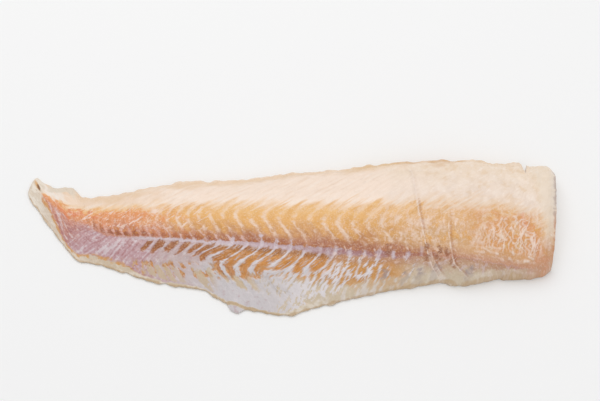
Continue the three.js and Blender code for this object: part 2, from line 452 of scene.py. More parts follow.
# Marks that are both relief and colour
def torn_windows(f):
    """Flesh bared between the flakes' edges under the lateral line, where the membrane has come off."""
    ragged = rough(f.along / 2.0, f.across / 2.0, 11)
    wavy = rough(f.flake * 1.3, f.across / 6, 18)
    down = 0.6 * ragged + 0.8 * wavy - f.across
    inner = 0.9 + 0.7 * ramp(f.flake, 27.5, 30)
    reach = 9 + 4.5 * chance(f.window_cell, 1) + 6 * ramp(f.flake, 26.8, 28.2)
    length = ramp(down, inner - 0.5, inner + 0.5) * ramp(down, reach + 0.6, reach - 0.6)
    taper = 0.16 * ramp(down, reach - 6, reach) + 0.06 * ramp(down, inner + 3, inner)
    edge = 0.15 - 0.08 * ramp(f.flake, 25, 28) + taper + 0.04 * ragged + 0.04 * wavy
    width = ramp(f.window_septum, edge - 0.03, edge + 0.03)
    strand = threads(rough(f.flake * 2.6, f.across / 9, 19), 0.2) * ramp(f.flake, 24, 28)
    row = ramp(f.window_flake, 20.0, 20.1) * ramp(f.flake, 35.0, 34.2)
    return length * width * (1 - 0.8 * strand) * row


def second_windows(f):
    """The far limbs of the longest windows, bent back towards the belly."""
    ragged = rough(f.along / 2.0, f.across / 2.0, 12)
    down = 1.1 * ragged - f.across
    part = f.part + 0.09 * ragged
    limb = ramp(part, 0.30, 0.40) * ramp(part, 0.97, 0.87)
    reach = 24 + 7 * ramp(f.flake, 27, 28.7) * ramp(f.flake, 31.5, 30)
    length = ramp(down, 12.5, 14.5) * ramp(down, reach + 1.2, reach - 1.2)
    return limb * length * between(f.flake, 27.4, 30.9, 0.3)


def lower_spots(f):
    """Small bared spots in a row nearer the belly."""
    speck = rough(f.flake * 2.2, f.across / 5, 13) + 0.25 * rough(f.along / 2.0, f.across / 2.0, 12)
    row = between(f.across, -25, -15, 1.5) * between(f.flake, 17.5, 32, 0.8)
    return ramp(speck, 0.22, 0.42) * row


def membrane_lace(f):
    """Steep strands of membrane left on the bare belly towards the thick end, and where they lie."""
    lean = f.along - 0.55 * f.across
    strand = rough(lean / 2.0, f.across / 6, 14)
    veins = threads(rough(lean / 3.6, f.across / 8, 20), 0.5)
    dense = 0.7 - 0.9 * ramp(f.along, -12, 26) - 0.45 * ramp(f.along, 50, 84) - 0.6 * ramp(f.across, -13, -4)
    first = 34.2 - 4.4 * ramp(f.across + 3 * strand, -13, -25)
    under_line = f.across + 0.8 * strand + 1.5 * ramp(f.along, 40, 10)
    area = ramp(f.flake, first - 0.5, first + 0.5) * ramp(f.along, 108, 86) * ramp(under_line, -0.8, -2.6)
    return ramp(strand + 0.7 * veins + dense, -0.05, 0.2), area


def wrinkles(f):
    """Fine folds of the membrane near the straight cut: wavy and upright, but level by the lateral line."""
    sway = rough(f.along / 11, f.across / 6, 16, 1.0)
    upright = (f.along + 2.2 * sway) / 3.7
    line = ramp(abs(upright.maths("FRACT") - 0.5), 0.28, 0.08)
    broken = ramp(rough(upright.maths("FLOOR") * 3.7, f.across / 14, 17), -0.8, -0.2)
    winding = threads(rough((f.along - 0.25 * f.across) / 4.6, f.across / 20, 23, 1.0), 0.26)
    upper_end = 22 + 15 * ramp(f.along, 132, 166) + 2 * sway
    line = (line * broken * 0.85).maths("MAXIMUM", winding) * between(f.across, 8, upper_end, 4)
    level = (f.across + 0.15 * f.along + 1.2 * sway) / 3.4
    level_line = ramp(abs(level.maths("FRACT") - 0.5), 0.34, 0.12) * between(f.across, 3, 9, 1.5)
    level_line = level_line * ramp(rough(f.along / 7, level.maths("FLOOR") * 3.7, 15), -0.4, 0.2)
    return (line + level_line) * ramp(f.along, 118, 156) * ramp(f.along, 185, 179)


# Relief of the flakes
# The muscle lies in flakes with a groove between each two; torn membrane, creases and wrinkles stand on it.
RELIEF = {
    "Groove Depth": 0.4,
    "Back Groove Share": 0.25,
    "Lateral Groove": 0.5,
    "Window Depth": 0.45,
    "Wrinkle Height": 0.5,
    "Crease Depth": 0.28,
    "Seam Depth": 0.7,
    "Unevenness": 0.4,
}
SEAM_INSET = 6.5
SEAM_WIDTH = 2.2
# Where single spots of colour lie, as (along, across)
GREY_PLACES = [(68, -12.6), (83, -13.2), (93, -12.1), (104, -9.1), (128, -9.3)]
WHITE_PLACES = [(-187, 14), (-181, 15), (-175, 19)]
TIP_GOLD_PLACES = [(-192.6, 11.2)]
TIP_DARK_PLACES = [(-191.3, 10.4)]
DARK_PLACES = [(99, 6.2), (99, -0.2), (108, 4.4), (107, 0.5), (113, 3), (118, -4), (71, 3.2)]
RED_PLACES = [(169, 31.6), (174, 27.6), (177, 18.8), (181, 10.1), (185, 3.4)]
relief_tree = bpy.data.node_groups.new("flake relief", "GeometryNodeTree")
relief_tree.interface.new_socket("Geometry", in_out="INPUT", socket_type="NodeSocketGeometry")
relief_tree.interface.new_socket("Geometry", in_out="OUTPUT", socket_type="NodeSocketGeometry")
identifiers = {}
for name in RELIEF:
    socket = relief_tree.interface.new_socket(name, in_out="INPUT", socket_type="NodeSocketFloat")
    identifiers[name] = socket.identifier
start = Field(relief_tree)
group_input = relief_tree.nodes.new("NodeGroupInput")
size = {name: Field(relief_tree, group_input.outputs[name]) for name in RELIEF}
f = surface_fields(relief_tree, fields)

# Unevenness of several sizes, the marks and the spots are kept on the points for the colours, because the
# skin's shader can't hold the nodes of all of them.
drift = rough(f.along / 15, f.across / 11, 31)
climb = 5.5 * ramp(f.along, -136, -156)
off_climb = abs(f.across - climb)
tip_fibre = rough((f.along - 0.7 * off_climb + 0.8 * drift) / 1.9, off_climb / 15, 47)
leaning_fibre = rough((f.along + 0.9 * off_climb + 0.8 * drift) / 1.9, off_climb / 15, 38)
tail_fibre = lerp(tip_fibre, leaning_fibre, ramp(f.along + 0.4 * off_climb, -168, -152))
lace, lace_area = membrane_lace(f)
mottle = rough(f.along / 4.2, f.across / 3.4, 32, 3.0)
speckle = rough(f.along / 2.0, f.across / 1.7, 40)
leaning = SimpleNamespace(along=f.along - 0.5 * f.across - 6, across=f.across)
tip_place = SimpleNamespace(along=f.along + 0.4 * (f.across - 10.8), across=f.across)
carried = {
    "drift": drift,
    "mottle": mottle,
    "speckle": speckle,
    "grey_patch": spots(leaning, GREY_PLACES, along=2.8, across=4.5, uneven=mottle + 0.8 * speckle),
    "white_spot": spots(f, WHITE_PLACES, along=6, across=4.5, uneven=0.5 * mottle),
    "tip_gold": spots(tip_place, TIP_GOLD_PLACES, along=2.2, across=3.2, uneven=0.2 * speckle),
    "tip_dark": spots(tip_place, TIP_DARK_PLACES, along=1.6, across=2.4, uneven=0.2 * speckle),
    "dark_spot": spots(f, DARK_PLACES, along=2.2, across=3.6, uneven=0.9 * speckle + 0.7 * mottle),
    "red_spot": spots(f, RED_PLACES, along=3.2, across=6.5, uneven=0.8 * mottle + 0.5 * speckle),
    "fibre": rough(f.flake * 6, f.across / 9, 34),
    "brush": rough((f.along - 1.3 * f.across) / 3.4, (f.along + f.across) / 28, 35, 3.0),
    "dash": rough((0.68 * f.along - 0.73 * f.across) / 1.8, (0.73 * f.along + 0.68 * f.across) / 9, 36, 1.0),
    "net": rough((f.along + 0.8 * f.across) / 5.2, (f.along - 0.8 * f.across) / 3.6, 37),
    "fleck": rough((f.along - 0.7 * f.across) / 2.2, f.across / 4, 43),
    "end_patch": rough(f.along / 6.5, f.across / 8, 44, 3.0),
    "wisp": rough((f.along - 0.3 * f.across) / 3.6, f.across / 8, 46, 3.0),
    "flame": rough(f.flake * 1.9, f.across / 30, 45),
    "climb": climb,
    "tail_fibre": tail_fibre,
    "foam": rough((f.along + 0.4 * f.across) / 2.6, f.across / 4.5, 41),
    "window_streak": rough(f.flake * 8, f.across / 5, 39),
    "ray": rough((f.along + 0.9 * f.across) / 1.9, f.across / 10, 42),
    "window": torn_windows(f),
    "far_window": second_windows(f),
    "lower_spot": lower_spots(f),
    "lace": lace,
    "lace_area": lace_area,
    "wrinkle": wrinkles(f),
}

on_back = ramp(f.across, 20, 44)
groove = (f.flake * (2 * math.pi)).maths("COSINE") * 0.5 + 0.5
groove = groove * size["Groove Depth"] * (1 - on_back * (1 - size["Back Groove Share"]))
groove = groove * ramp(f.along, 150, 90)
lateral_groove = ramp(abs(f.across), 3.2, 0.4) * between(f.along, -155, 110, 18) * size["Lateral Groove"]
bared = carried["window"].maths("MAXIMUM", carried["far_window"]) + carried["lower_spot"]
bared = bared + (1 - lace) * lace_area
seam_line = ramp(abs(f.back_rim - SEAM_INSET), SEAM_WIDTH, 0.2) * between(f.along, -60, 140, 10)
crease_cut = ramp(abs(f.crease), 1.3, 0.2) * f.crease_strength
crease_lip = ramp(abs(f.crease + 1.8), 1.5, 0.3) * f.crease_strength
swell = rough(f.along / 16, f.across / 12, 21) + 0.3 * rough(f.along / 4, f.across / 4, 22)
height = (
    swell * size["Unevenness"]
    - groove
    - lateral_groove
    - bared * size["Window Depth"]
    + carried["wrinkle"] * size["Wrinkle Height"]
    + (crease_lip * 0.4 - crease_cut) * size["Crease Depth"]
    - seam_line * size["Seam Depth"]
)
height = height * f.room * f.skinned * MM
outward = start.node("GeometryNodeInputNormal")
offset = start.node("ShaderNodeVectorMath", {"operation": "SCALE"}, {0: outward, "Scale": height})
shaped = start.node("GeometryNodeSetPosition", None,
                    {"Geometry": Field(relief_tree, group_input.outputs["Geometry"]), "Offset": offset})
for name, value in carried.items():
    shaped = start.node("GeometryNodeStoreNamedAttribute", {"data_type": "FLOAT", "domain": "POINT"},
                        {"Geometry": shaped, "Name": name, "Value": value})
shaped = start.node("GeometryNodeRealizeInstances", None, {"Geometry": shaped})
face_side = start.node("GeometryNodeInputNamedAttribute", {"data_type": "INT"}, {"Name": "side"})
for side, material in enumerate(materials):
    chosen = start.node("FunctionNodeCompare", {"data_type": "INT", "operation": "EQUAL"},
                        {2: face_side, 3: side})
    shaped = start.node("GeometryNodeSetMaterial", None,
                        {"Geometry": shaped, "Selection": chosen, "Material": material})
group_output = relief_tree.nodes.new("NodeGroupOutput")
relief_tree.links.new(shaped.socket, group_output.inputs["Geometry"])

relief = fillet.modifiers.new("relief", "NODES")
relief.node_group = relief_tree
for name, value in RELIEF.items():
    relief[identifiers[name]] = value

# The knife took a small wedge out of the back edge near the straight cut.
NICK_LEFT = 169.6
NICK_RIGHT = 182.5
NICK_TIP = (175.2, 43)
NICK_OUTER_Y = 75
NICK_HEIGHT = 40
nick_plan = [(NICK_LEFT, NICK_OUTER_Y), NICK_TIP, (NICK_RIGHT, NICK_OUTER_Y)]
nick_points = [(px * MM + shift_x, py * MM + shift_y, pz * MM)
               for pz in (-NICK_HEIGHT, NICK_HEIGHT) for px, py in nick_plan]
nick_faces = [(2, 1, 0), (3, 4, 5), (0, 1, 4, 3), (1, 2, 5, 4), (2, 0, 3, 5)]
nick_mesh = bpy.data.meshes.new("nick_wedge")
nick_mesh.from_pydata(nick_points, [], nick_faces)
nick_mesh.materials.append(materials[CUT_FACE])
nick = bpy.data.objects.new("nick_wedge", nick_mesh)
bpy.context.scene.collection.objects.link(nick)
nick_cut = fillet.modifiers.new("nick", "BOOLEAN")
nick_cut.operation = "DIFFERENCE"
nick_cut.solver = "MANIFOLD"
nick_cut.material_mode = "TRANSFER"
nick_cut.object = nick

evaluated = fillet.evaluated_get(bpy.context.evaluated_depsgraph_get())
flesh = bpy.data.meshes.new_from_object(evaluated)
fillet.modifiers.clear()
fillet.data = flesh
bpy.data.objects.remove(nick)
bpy.data.meshes.remove(mesh)

# New points along the nick take the values of the nearest older point.
known = np.zeros(len(flesh.vertices), np.float32)
flesh.attributes["known"].data.foreach_get("value", known)
old = np.flatnonzero(known)
old_points = KDTree(len(old))
for i in old:
    old_points.insert(flesh.vertices[i].co, i)
old_points.balance()
for i in np.flatnonzero(known == 0):
    nearest = old_points.find(flesh.vertices[i].co)[1]
    for name in [*fields, *carried]:
        values = flesh.attributes[name].data
        values[i].value = values[nearest].value

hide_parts("fillet")
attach(fillet, "root")


# The skinned side
# Raw cod flesh as the skin leaves it: a cream back, a golden band of fat above the lateral line, dark
# muscle beside it, and a silver-lilac membrane over the belly, torn open between the flakes.
def srgb(red, green, blue):
    """A colour as a screen shows it, for a shader's linear light."""
    screen = np.array([red, green, blue]) / 255
    linear = np.where(screen <= 0.04045, screen / 12.92, ((screen + 0.055) / 1.055) ** 2.4)
    return (*linear.tolist(), 1.0)


def tint(under, over, mask):
    """One colour over another, as far as the mask says."""
    return mask.node("ShaderNodeMix", {"data_type": "RGBA"}, {0: mask, 6: under, 7: over}, output=2)


def either(first, second):
    """Two masks of one colour as one, the same as a tint by each in turn."""
    return first + second - first * second


TONE_SPAN = 2.0
BAND_TAIL = [(0.10, srgb(202, 138, 116)), (0.22, srgb(217, 142, 95)), (0.36, srgb(229, 147, 82)),
             (0.44, srgb(237, 180, 114)), (0.52, srgb(241, 206, 166)), (0.60, srgb(242, 214, 189)),
             (0.9, srgb(242, 217, 196))]
BAND_MIDDLE = [(0.05, srgb(182, 122, 94)), (0.10, srgb(191, 129, 84)), (0.19, srgb(209, 150, 88)),
               (0.30, srgb(233, 176, 99)), (0.39, srgb(238, 188, 120)), (0.46, srgb(243, 208, 172)),
               (0.54, srgb(248, 226, 208)), (0.9, srgb(248, 226, 208))]
BAND_CUT = [(0.04, srgb(209, 160, 124)), (0.09, srgb(216, 169, 121)), (0.18, srgb(218, 173, 123)),
            (0.28, srgb(222, 175, 126)), (0.36, srgb(228, 178, 121)), (0.44, srgb(232, 188, 140)),
            (0.51, srgb(237, 209, 182)), (0.62, srgb(240, 220, 204)), (0.9, srgb(241, 220, 198))]
CREAM_LIGHT = srgb(250, 234, 220)
CREAM_SHADE = srgb(238, 210, 186)
STRAW = srgb(227, 191, 147)
STRAW_DEEP = srgb(215, 170, 119)
PALE_SEPTUM = srgb(240, 213, 192)
GOLD = srgb(228, 167, 82)
ORANGE = srgb(229, 142, 68)
CORAL = srgb(220, 118, 84)
PINK_WHITE = srgb(243, 216, 200)

skin = materials[SKINNED_SIDE]
f = surface_fields(skin.node_tree, [*fields, *carried])
start = Field(skin.node_tree)
drift = f.drift
mottle = f.mottle
speckle = f.speckle
fibre = f.fibre
brush = f.brush

tailward = ramp(f.along + 12 * drift, -60, -125)
cutward = ramp(f.along + 12 * drift, 45, 105)
near_top = ramp(f.tone, 0.5, 0.9)
jag = 0.09 * brush + 0.2 * (0.25 - f.septum) * between(f.along, -80, 70, 20)
tone = (f.tone + jag * near_top + 0.04 * drift + 0.02 * speckle) / TONE_SPAN
band = start.node("ShaderNodeValToRGB", {"stops": BAND_MIDDLE}, {0: tone})
band_tail = start.node("ShaderNodeValToRGB", {"stops": BAND_TAIL}, {0: tone})
band_cut = start.node("ShaderNodeValToRGB", {"stops": BAND_CUT}, {0: tone})
colour = tint(tint(band, band_tail, tailward), band_cut, cutward)

on_cream = ramp(tone, 0.46, 0.58)
streaky = on_cream * (1 - 0.75 * ramp(f.along, 40, 100))
colour = tint(colour, CREAM_LIGHT, ramp(brush, 0.1, 1.2) * streaky * 0.5)
colour = tint(colour, CREAM_SHADE, ramp(brush, -0.1, -1.2) * streaky * 0.5)
colour = tint(colour, CREAM_LIGHT, ramp(f.fleck, 0.6, 1.2) * on_cream * ramp(f.along, 50, 110) * 0.6)
thick_back = on_cream * ramp(f.along, 70, 120)
end_patch = f.end_patch + 0.45 * speckle
colour = tint(colour, STRAW, ramp(end_patch, 0.2, 1.2) * thick_back * 0.35)
colour = tint(colour, CREAM_LIGHT, ramp(end_patch, -0.2, -1.2) * thick_back * 0.4)
near_back = ramp(f.back_rim + 3 * drift, 14, 3) * on_cream
rim_straw = tint(STRAW, STRAW_DEEP, between(f.along, 82, 126, 14))
colour = tint(colour, rim_straw, near_back * (0.55 + 0.45 * between(f.along, 45, 150, 20)))

in_band = ramp(f.tone, 0.14, 0.3) * ramp(f.tone + jag * near_top, 1.05, 0.86)
golden = in_band * (1 - tailward) * (1 - cutward)
wobble = f.septum + 0.08 * mottle + 0.05 * speckle
colour = tint(colour, GOLD, ramp(wobble, 0.16, 0.42) * golden * ramp(drift, -1.0, 0.5) * 0.6)
colour = tint(colour, ORANGE, ramp(mottle + 0.4 * drift, -0.1, 0.9) * in_band * tailward * 0.65)
colour = tint(colour, CORAL, ramp(drift + mottle, 0.1, 1.2) * in_band * ramp(f.along, -118, -148) * 0.5)
net = threads(f.net, 0.45) * in_band * ramp(speckle, -0.6, 0.5) * ramp(f.along + 10 * drift, -56, -96)
net = net * (0.5 - 0.2 * ramp(f.along, -118, -150))
# Painted highlights: short pale glints leaning across the band towards the tail. They go on in one tint with
# the pale net and the pale patches of the thick end, which are the flesh's own colour.
painted_glints = ramp(f.dash, 0.7, 1.0) * between(f.tone, 0.3, 0.95, 0.1) * between(f.along, -165, -60, 10)
pale_marks_and_glints = either(net, painted_glints * 0.8)
pale_marks_and_glints = either(pale_marks_and_glints, ramp(end_patch, 0.1, 1.2) * in_band * cutward * 0.55)
colour = tint(colour, PINK_WHITE, pale_marks_and_glints)
top_gold = between(f.tone + 0.1 * brush, 0.76, 0.98, 0.1) * ramp(f.along, 25, 70) * ramp(f.along, 170, 140)
top_gold = top_gold * ramp(mottle + 0.6 * speckle, -0.4, 0.9) * 0.5
colour = tint(colour, GOLD, either(ramp(end_patch, -0.1, -1.1) * in_band * cutward * 0.7, top_gold))
soft_septum = ramp(wobble, 0.28, 0.02) * between(f.across, 6, 28, 6) * between(f.along, -112, 112, 20)
colour = tint(colour, PALE_SEPTUM, soft_septum * ramp(drift + 1.4 * mottle, -1.3, 0.9) * 0.78)
wisps = threads(f.wisp, 0.3) * ramp(speckle, -0.8, 0.6) * in_band * ramp(f.along, -30, 90)
colour = tint(colour, PINK_WHITE, wisps * 0.5)

# The dark muscle just above the lateral line, in a rounded cell to each flake near the tail
DARK_MUSCLE = srgb(156, 78, 34)
RED_MUSCLE = srgb(208, 124, 68)
# The brown of the muscle, which also serves as the painted shade beside the creases at the thick end.
BROWN_MUSCLE_AND_SHADE = srgb(168, 97, 56)
GOLD_MUSCLE = srgb(204, 138, 72)
GAP_PINK = srgb(226, 192, 186)
above = f.across - 1.5 * f.climb
leaning_flake = f.flake + 0.06 * above
leaning_number = (leaning_flake + 0.5).maths("FLOOR")
leaning_septum = abs(leaning_flake - leaning_number)
cell_size = 6 + 3 * chance(leaning_flake.maths("FLOOR"), 2) + 1.8 * mottle
cell_top = cell_size * ramp(leaning_septum + 0.05 * speckle, 0.06, 0.3)
cell_soft = 0.9 + 3.2 * ramp(f.along, -108, -70)
dark_cell = ramp(cell_top - above, -cell_soft, cell_soft) * ramp(above + 0.5 * speckle, 0.9, 1.9)
dark_cell = dark_cell * between(f.along, -146, -20, 12)
reddish = ramp(above + 1.6 * speckle + 2 * mottle, 3.4, 7.0)
reddish = either(reddish, ramp(f.along + 14 * mottle, -112, -90) * 0.5)
dark_colour = tint(DARK_MUSCLE, RED_MUSCLE, reddish)
dark_colour = tint(dark_colour, BROWN_MUSCLE_AND_SHADE, ramp(f.along, -85, -45))
colour = tint(colour, dark_colour, dark_cell * (0.8 + 0.2 * speckle))
colour = tint(colour, GOLD_MUSCLE, ramp(speckle + 0.5 * mottle, 0.1, 1.1) * dark_cell * 0.5)
flame_top = 9.5 + 4.5 * f.flame
flame = ramp(f.across + speckle, flame_top + 1, 0.5) * between(f.along, -72, 112, 14)
flame = flame * ramp(f.across, -1, 1)
colour = tint(colour, BROWN_MUSCLE_AND_SHADE, flame * (0.68 + 0.3 * fibre))
colour = tint(colour, GOLD_MUSCLE, ramp(speckle + 0.6 * mottle, 0.0, 1.0) * flame * 0.5)
colour = tint(colour, DARK_MUSCLE, ramp(speckle + 0.6 * mottle, -0.2, -1.2) * flame * 0.35)
gap_top = 3 + 6 * chance(leaning_number, 5)
gap = ramp(leaning_septum + 0.08 * mottle + 0.06 * speckle, 0.14, 0.02)
gap = gap * between(above + mottle, 0.5, gap_top, 2) * between(f.along, -138, -20, 10)
gap = gap * (0.15 + 0.6 * chance(leaning_number, 6))
colour = tint(colour, GAP_PINK, gap)

# The membrane below the lateral line, which climbs over the band near the tail
MEMBRANE = srgb(211, 204, 206)
MEMBRANE_GREY = srgb(204, 184, 182)
MEMBRANE_TAIL = srgb(198, 160, 165)
MEMBRANE_LIGHT = srgb(228, 219, 222)
LILAC = srgb(197, 172, 180)
ROSE = srgb(172, 110, 110)
ROSE_ORANGE = srgb(210, 142, 112)
uneven_line = f.across - f.climb + (0.5 + 0.3 * f.climb) * mottle
below = ramp(uneven_line, 0.5 + 0.4 * f.climb, -0.7 - 0.4 * f.climb)
tail_fibre = f.tail_fibre + 0.4 * speckle
near_tail = ramp(f.along + 8 * drift + 0.5 * f.across, -94, -124)
membrane = tint(MEMBRANE, MEMBRANE_GREY, ramp(f.along + 10 * drift, -45, -85))
membrane = tint(membrane, LILAC, ramp(f.across + mottle, -6, -1.5) * ramp(f.along, -60, -20) * 0.7)
membrane = tint(membrane, ROSE, ramp(f.across + mottle, -14, -4) * between(f.along, -105, -48, 15) * 0.35)
membrane = tint(membrane, MEMBRANE_TAIL, near_tail)
membrane = tint(membrane, ROSE, ramp(f.along + 6 * mottle - 1.2 * f.across, -136, -162) * 0.4)
membrane = tint(membrane, ROSE_ORANGE, ramp(f.along + 5 * mottle - 0.9 * f.across, -146, -176) * 0.85)
membrane = tint(membrane, ROSE, ramp(tail_fibre, 0.0, 1.1) * near_tail * 0.65)
membrane = tint(membrane, MEMBRANE_LIGHT, ramp(tail_fibre, -0.1, -1.2) * near_tail * 0.55)
membrane = tint(membrane, ROSE, ramp(mottle + 0.6 * speckle, 0.4, 1.6) * 0.3)
membrane = tint(membrane, MEMBRANE_LIGHT, ramp(mottle + 0.6 * speckle, -0.4, -1.5) * 0.5)
colour = tint(colour, membrane, below)

# The lateral line itself, with short pale ticks where the flakes meet it
LILAC_LIGHT = srgb(212, 196, 203)
MAUVE = srgb(168, 120, 122)
ROSE_BROWN = srgb(174, 110, 86)
line_half = 0.8 + 0.8 * ramp(f.along, -70, -20) + 1.7 * ramp(f.along, 0, 45)
off_line = abs(f.across - 0.2 + 1.1 * ramp(f.along, 0, 45) + 0.6 * mottle + 0.4 * speckle)
on_line = ramp(off_line, line_half + 0.7, line_half - 0.5) * between(f.along, -118, 104, 12)
line_colour = tint(LILAC_LIGHT, LILAC, ramp(f.along + 8 * mottle, -70, -10))
line_colour = tint(line_colour, MAUVE, ramp(f.along + 22 * mottle, 0, 45))
line_colour = tint(line_colour, ROSE_BROWN, ramp(f.along + 22 * mottle, 48, 88))
colour = tint(colour, line_colour, on_line * 0.9)
tick_top = 2 + 7 * chance(f.septum_number, 3)
tick_half = 0.16 + 0.06 * ramp(f.along, 0, 30)
tick = ramp(f.septum + 0.06 * mottle + 0.05 * speckle, tick_half, 0.03) * ramp(fibre, -1.6, -0.3)
tick = tick * between(f.across, -2 - 6 * ramp(f.along, 0, 30), tick_top, 1.2) * between(f.along, -60, 104, 12)
colour = tint(colour, LILAC_LIGHT, tick * ramp(chance(f.septum_number, 7), -0.4, 0.6) * 0.85)
foam = ramp(f.foam, 0.45, 1.0) * between(f.across, -4, 6, 2) * between(f.along, 30, 174, 12)
colour = tint(colour, PINK_WHITE, foam * (0.65 - 0.2 * ramp(f.along, 98, 112)))

# Flesh bared by torn membrane
WINDOW_TAIL = srgb(172, 104, 54)
WINDOW = srgb(208, 138, 58)
WINDOW_DARK = srgb(128, 70, 32)
WINDOW_PALE = srgb(218, 174, 132)
BEIGE = srgb(207, 184, 153)
window_colour = tint(WINDOW, WINDOW_TAIL, ramp(f.along + f.across, -40, -90))
window_streak = f.window_streak + 0.65 * speckle
near_line = ramp(f.across + mottle, -9, -2) * (0.6 - 0.35 * ramp(f.along, -45, -80))
window_colour = tint(window_colour, WINDOW_DARK, either(near_line, ramp(window_streak, 0.2, 1.3) * 0.45))
window_colour = tint(window_colour, WINDOW_PALE, ramp(window_streak, -0.5, -1.4) * 0.7)
white_septum = ramp(f.window_septum + 0.04 * speckle, 0.15, 0.05) * between(f.window_flake, 20, 34, 1)
septum_end = -8 - 9 * ramp(f.flake, 26, 28.2)
white_septum = white_septum * between(f.across, septum_end, -3, 1.5) * (0.35 + 0.35 * ramp(f.flake, 23, 26))
colour = tint(colour, MEMBRANE_LIGHT, white_septum)
colour = tint(colour, window_colour, f.window)
far_colour = tint(BEIGE, window_colour, ramp(f.across + 2 * mottle, -26, -20))
colour = tint(colour, far_colour, f.far_window * 0.95)
spot_colour = tint(WINDOW, WINDOW_DARK, ramp(speckle, -0.2, 1.2) * 0.5)
spot_colour = tint(spot_colour, BEIGE, ramp(mottle, -0.4, 1) * 0.6)
colour = tint(colour, spot_colour, f.lower_spot * 0.9)
patch = ramp(f.septum + 0.06 * mottle + 0.07 * speckle, 0.1, 0.17)
patch = patch * ramp(f.across + 1.6 * mottle + speckle, -18, -20) * ramp(f.margin + 0.4 * mottle, 1.5, 2.0)
patch = patch * between(f.along, -108, -56, 5) * ramp(chance(f.cell, 4), 0.15, 0.4)
colour = tint(colour, BEIGE, patch * ramp(speckle, 1.1, 0.5) * 0.85)

# Bare belly towards the thick end, under strands of membrane
BARE_ORANGE = srgb(209, 147, 72)
BEIGE_PALE = srgb(212, 194, 168)
BEIGE_PINK = srgb(188, 136, 102)
LACE_WHITE = srgb(231, 224, 227)
GREY_LILAC = srgb(168, 149, 147)
bare_belly = tint(BEIGE_PALE, BARE_ORANGE, ramp(f.across + 2.5 * mottle, -25, -17) * ramp(f.along, 98, 68))
bare_belly = tint(bare_belly, BEIGE_PINK, ramp(f.across + 1.5 * mottle, -9, -3) * 0.85)
bare_belly = tint(bare_belly, PINK_WHITE, ramp(speckle + mottle, 0.3, 1.6) * 0.35)
bare_belly = tint(bare_belly, tint(MEMBRANE, LACE_WHITE, ramp(f.along, -20, 20)), f.lace * 0.95)
colour = tint(colour, bare_belly, f.lace_area)
strip = ramp(f.along + 6 * drift, 78, 102) * below
strip_pink = either(ramp(f.across + 3 * mottle, -13, 1), ramp(f.along + 8 * mottle, 140, 176) * 0.4)
strip_colour = tint(BEIGE_PALE, BEIGE_PINK, strip_pink)
strip_colour = tint(strip_colour, MEMBRANE_LIGHT, ramp(mottle + 0.6 * speckle, 0.1, 1.3) * 0.5)
strip_colour = tint(strip_colour, BEIGE_PINK, ramp(mottle + 0.6 * speckle, -0.3, -1.5) * 0.4)
colour = tint(colour, strip_colour, strip)
colour = tint(colour, GREY_LILAC, f.grey_patch * 0.8)

# Thin margins, where the flesh turns glassy
TAIL_MARGIN = srgb(222, 206, 186)
MARGIN_LIGHT = srgb(236, 225, 210)
TAIL_WHITE = srgb(243, 230, 218)
MARGIN_GOLD = srgb(214, 156, 80)
PAINTED_EDGE_SHADOW = srgb(190, 154, 106)
SPOT_DARK = srgb(130, 80, 14)
rays = ramp(f.ray, 0.1, 1.1) * between(f.along, -190, -152, 6) * between(f.across, 3, 17, 3)
colour = tint(colour, CORAL, rays * 0.4)
colour = tint(colour, TAIL_WHITE, f.white_spot * 0.75)
from_rim = f.margin + 0.18 * mottle + 0.1 * speckle
margin = ramp(from_rim, 1.2, 0.85)
margin_colour = tint(BEIGE_PALE, TAIL_MARGIN, ramp(f.along, -140, -160))
margin_colour = tint(margin_colour, MARGIN_LIGHT, ramp(mottle + drift, -0.4, 1.2) * 0.7)
colour = tint(colour, margin_colour, margin * (0.95 - 0.4 * ramp(f.along, 10, 40)))
gold_rim = ramp(abs(from_rim - 1.1), 0.35, 0.05) * ramp(mottle + drift, -1.4, 0.2)
gold_rim = gold_rim * ramp(f.along, -104, -130) * ramp(f.along, -192, -184) * 0.8
gold_blotch = ramp(mottle + 0.5 * speckle, 0.1, 0.9) * between(f.margin, 0.7, 1.5, 0.3)
gold_blotch = gold_blotch * between(f.along, -166, -122, 6) * 0.75
colour = tint(colour, MARGIN_GOLD, either(gold_rim, gold_blotch))
fin = ramp(f.back_rim + 0.6 * mottle, 6.5, 5) * between(f.along, -184, -163, 2.5)
tip = ramp(f.along + mottle, -186, -189)
tip_colour = tint(TAIL_MARGIN, MARGIN_LIGHT, ramp(mottle + drift, -0.8, 1) * (1 - 0.7 * fin))
colour = tint(colour, tip_colour, fin.maths("MAXIMUM", tip) * 0.9)
colour = tint(colour, MARGIN_GOLD, f.tip_gold * 0.8)
colour = tint(colour, SPOT_DARK, f.tip_dark)
# Painted shadow: a thin brown line along the belly edge, where the thin flesh meets the floor.
colour = tint(colour, PAINTED_EDGE_SHADOW, ramp(f.belly_rim + 0.4 * mottle, 1.3, 0.4) * 0.6)

# The thick end: creases, wrinkles and the spots beside them
WHITE_FOLD = srgb(246, 226, 213)
SPOT_BROWN = srgb(148, 86, 44)
PINK_LINE = srgb(190, 124, 98)
PALE_END = srgb(238, 221, 201)
FLUSH = srgb(219, 150, 82)
CORNER_BROWN = srgb(204, 146, 108)
CORNER_RED = srgb(190, 112, 60)
CORAL_SOFT = srgb(224, 146, 98)
LAST_FLAKE = float(fields["flake"].max())
pink_line = ramp(abs(f.across - 0.6 + 1.2 * mottle), 2.0, 0.3) * ramp(f.along, 100, 114)
colour = tint(colour, PINK_LINE, pink_line * (0.55 - 0.2 * ramp(f.along, 118, 130)))
colour = tint(colour, SPOT_BROWN, f.dark_spot * 0.7)
flushed = ramp(f.along, 118, 152) * ramp(f.along, 187, 179) * between(f.across, 6, 38, 5)
colour = tint(colour, FLUSH, flushed * ramp(drift + mottle, -1.2, 0.6) * 0.82)
colour = tint(colour, CORAL_SOFT, f.red_spot * 0.5)
